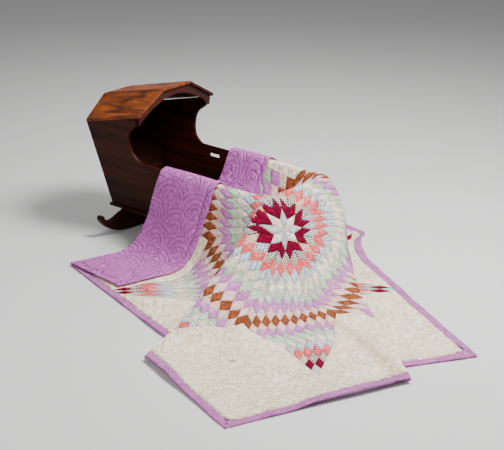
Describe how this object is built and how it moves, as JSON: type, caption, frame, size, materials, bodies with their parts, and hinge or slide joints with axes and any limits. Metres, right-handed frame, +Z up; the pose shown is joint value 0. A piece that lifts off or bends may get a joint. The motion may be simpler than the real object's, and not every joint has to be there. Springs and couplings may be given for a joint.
{
  "type": "star quilt on hooded cradle",
  "caption": "Pieced star quilt draped over the foot end of a hooded rocking cradle and out over the floor, its top edge folded down over both sides.",
  "frame": {"origin": "centre of the footprint, on the floor", "axes": "+X along the cradle from the hood to the foot end, +Y from the near side to the far side, +Z up"},
  "size_m": [2.2312, 1.9605, 0.7083],
  "materials": {
    "quilt": "quilted printed cotton, patchwork star",
    "binding": "lavender cotton",
    "wood": "dark red-brown varnish"
  },
  "bodies": {
    "root": {"quilt": "quilt", "binding_near": "binding", "binding_far": "binding", "binding_foot": "binding", "binding_head": "binding", "side_near": "wood", "side_far": "wood", "head_board": "wood", "foot_board": "wood", "bottom_board": "wood", "hood_near": "wood", "hood_far": "wood", "hood_top": "wood", "hood_front": "wood", "rocker_head": "wood", "rocker_foot": "wood"}
  },
  "joints": []
}
